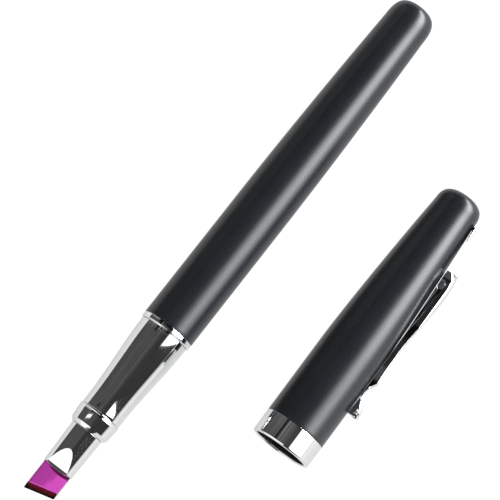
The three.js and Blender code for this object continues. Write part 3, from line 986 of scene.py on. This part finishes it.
def make_clip():
    """The folded sheet clip, root to tip, with the tongue that holds it in the cap."""
    face = spline(CLIP_FACE, 10)
    root, tip = CLIP_FACE[0][0], CLIP_FACE[-1][0]
    tables = CLIP_FOLD_LINE + CLIP_TOP_EDGE + CLIP_LEAN
    corners = [x for x, _ in tables if tip < x < root]
    corners += [FLANGE_TO + 0.02, FLANGE_TO - 0.02, FLANGE_FROM + 0.02]
    corners += [RIM_FROM + 0.01, RIM_FROM - 0.01]
    stations = dict((round(x, 3), out) for x, out in face)
    stations.update((round(x, 3), table_value(face, x)) for x in corners)
    shape = bmesh.new()
    rings = []
    for x, out in sorted(stations.items(), reverse=True):
        rings.append([shape.verts.new(Vector((x, -y, z)) * MM) for y, z in clip_section(x, out)])
    count = len(rings[0])
    for first, second in zip(rings, rings[1:]):
        for k in range(count):
            after = (k + 1) % count
            shape.faces.new((first[k], first[after], second[after], second[k]))
    shape.faces.new(rings[0])
    shape.faces.new(list(reversed(rings[-1])))
    piece = to_object("clip_folded", shape, CAP, crease=40)
    tongue = block(
        (TONGUE_X - TONGUE_THICKNESS / 2, -5.2, -TONGUE_WIDTH / 2),
        (TONGUE_X + TONGUE_THICKNESS / 2, -TONGUE_DEPTH, TONGUE_WIDTH / 2),
    )
    cut(piece, tongue, clip_pad(), operation="UNION", crease=20)
    weighted_normals(piece)
    return finished(piece, "clip", "pocket_clip", SHEET_CHROME)


def dress_hidden_nodes():
    """The CAD nodes that stay as they are get their finish in their own slots."""
    finishes = {"lock_washer": STEEL, "lock_nut": STEEL, "clip_retainer": PLASTIC}
    for node, material in finishes.items():
        for slot in frame["nodes"][node].material_slots:
            slot.material = material


# ---- the set ----

def make_camera():
    """A long lens from above, seen slightly from the blade's end and from the cap's side."""
    azimuth, elevation = math.radians(-52.486), math.radians(78)
    distance = 0.5729
    target = PEN @ Vector((21.54 * MM, -3.03 * MM, 0))
    back = Vector((
        math.sin(azimuth) * math.cos(elevation),
        -math.cos(azimuth) * math.cos(elevation),
        math.sin(elevation),
    ))
    data = bpy.data.cameras.new("camera")
    data.sensor_width = 36
    data.lens = 216
    data.clip_start = 0.05
    data.clip_end = 20
    camera = bpy.data.objects.new("camera", data)
    bpy.context.scene.collection.objects.link(camera)
    camera.location = target + back * distance
    camera.rotation_mode = "QUATERNION"
    camera.rotation_quaternion = (-back).to_track_quat("-Z", "Y")
    bpy.context.scene.camera = camera


def make_floor():
    """A pale light table: it glows, so only a faint shadow shows where the pen touches it.

    It is as bright as the backdrop to the camera, and dimmer in the reflections.
    """
    shape = bmesh.new()
    bmesh.ops.create_grid(shape, x_segments=2, y_segments=2, size=3.0)
    floor = to_object("floor", shape, Matrix.Translation((0, 0, cad_low.z)))
    n = Nodes("pale_table")
    path = n.add("ShaderNodeLightPath")
    through = n.spread(path.outputs["Is Transmission Ray"], 0, 0.8, start=0, end=1)
    seen = n.sum(path.outputs["Is Camera Ray"], through)
    floor.data.materials.append(n.set(
        Base_Color=(0.10, 0.10, 0.10, 1),
        Roughness=0.9,
        Emission_Color=(1, 1, 1, 1),
        Emission_Strength=n.spread(seen, 0.66, 0.97, start=0, end=1),
    ))


def make_world():
    """A dark grey studio laid out by direction, round a wide softbox.

    round_x is the angle round the X axis from straight up, in degrees, positive towards -Y;
    along_x is the X part of the direction. Besides the softbox there are a panel at the blade's
    end, a weak fill light at the back, one small lamp and two thin lines of light. The room
    darkens in a gap beside the clip and glows at the horizon. The camera sees a pale backdrop.
    """
    world = bpy.data.worlds.new("studio")
    world.use_nodes = True
    bpy.context.scene.world = world
    tree = world.node_tree
    tree.nodes.clear()

    def node(kind, *values, **settings):
        made = tree.nodes.new(kind)
        for key, value in settings.items():
            setattr(made, key, value)
        for socket, value in zip(made.inputs, values):
            if isinstance(value, bpy.types.NodeSocket):
                tree.links.new(value, socket)
            else:
                socket.default_value = value
        return made

    def calc(operation, *values):
        return node("ShaderNodeMath", *values, operation=operation).outputs[0]

    def total(first, *others):
        for other in others:
            first = calc("ADD", first, other)
        return first

    def product(first, *others):
        for other in others:
            first = calc("MULTIPLY", first, other)
        return first

    def ease(value, start, end, low=0.0, high=1.0, curve="SMOOTHSTEP"):
        kind = "ShaderNodeMapRange"
        return node(kind, value, start, end, low, high, interpolation_type=curve).outputs["Result"]

    def between(value, start, end, soft):
        """One inside the range and nought outside it, with soft edges inside the range."""
        return product(ease(value, start, start + soft), ease(value, end - soft, end, 1.0, 0.0))

    direction = tree.nodes.new("ShaderNodeTexCoord").outputs["Generated"]
    split = node("ShaderNodeSeparateXYZ", direction)
    along_x = split.outputs["X"]
    angle = calc("ARCTAN2", product(split.outputs["Y"], -1.0), split.outputs["Z"])
    round_x = product(angle, math.degrees(1))

    # the softbox: an even window, with a brighter middle that grows towards +X
    near_edge = total(product(calc("SUBTRACT", round_x, 50.0), 0.0014), 0.066)
    inside = ease(along_x, near_edge, total(near_edge, 0.012))
    window = product(between(round_x, 25.0, 88.0, 4.0), inside)
    power = ease(along_x, 0.05, 0.45, 4.1, 17.0, curve="LINEAR")
    middle = product(between(round_x, 27.0, 85.0, 25.0), power)
    softbox = product(window, total(middle, 1.3))

    panel = product(between(round_x, -92.0, 9.0, 4.0), between(along_x, -0.98, -0.28, 0.03), 1.25)
    fill = product(between(round_x, -92.0, -38.0, 12.0), between(along_x, 0.13, 0.75, 0.15), 0.42)
    small = product(between(round_x, -47.0, -22.0, 4.0), between(along_x, -0.089, -0.070, 0.004))
    lamp = product(small, 1.6)
    faint_line = product(between(round_x, -11.8, -9.8, 0.6), 0.08)
    rear_strength = ease(along_x, 0.10, 0.115, 0.0, 0.24)
    rear_line = product(between(round_x, -23.2, -20.4, 0.6), rear_strength)

    # the room: slightly uneven, brighter then darker towards +X, dark near the floor
    uneven = node("ShaderNodeTexNoise", direction)
    uneven.inputs["Scale"].default_value = 6.0
    shade = ease(uneven.outputs["Fac"], 0.3, 0.7, 0.85, 1.15)
    brighter = ease(along_x, 0.095, 0.118, 1.0, 1.5)
    darker = ease(along_x, 0.132, 0.15, 1.0, 0.16)
    gap = product(between(round_x, -38.0, -26.0, 2.0), ease(along_x, 0.085, 0.095, 0.0, 0.8))
    low_down = ease(calc("ABSOLUTE", round_x), 86.0, 92.0, 1.0, 0.15)
    room = product(
        ease(round_x, -10.0, 12.0, 0.080, 0.040),
        shade, calc("SUBTRACT", 1.0, gap), product(brighter, darker), low_down)
    horizon = ease(round_x, 79.0, 85.0, 0.0, 0.62)

    light = total(softbox, room, horizon, faint_line, rear_line, panel, fill, lamp)
    studio = node("ShaderNodeBackground", (1.0, 1.0, 1.0, 1.0), light)
    backdrop = node("ShaderNodeBackground", (0.97, 0.97, 0.97, 1.0), 1.0)
    seen = tree.nodes.new("ShaderNodeLightPath").outputs["Is Camera Ray"]
    mix = node("ShaderNodeMixShader", seen, studio.outputs[0], backdrop.outputs[0])
    node("ShaderNodeOutputWorld", mix.outputs[0])


def make_set():
    make_camera()
    make_floor()
    make_world()
    bpy.context.scene.view_settings.view_transform = "Standard"


make_set()
make_barrel()
make_bush()
make_trim_ring()
make_grip()
make_core()
make_collar()
make_holder()
make_blade()
make_cap_shell()
make_band()
make_liner()
make_clip()
dress_hidden_nodes()

bpy.context.view_layer.update()
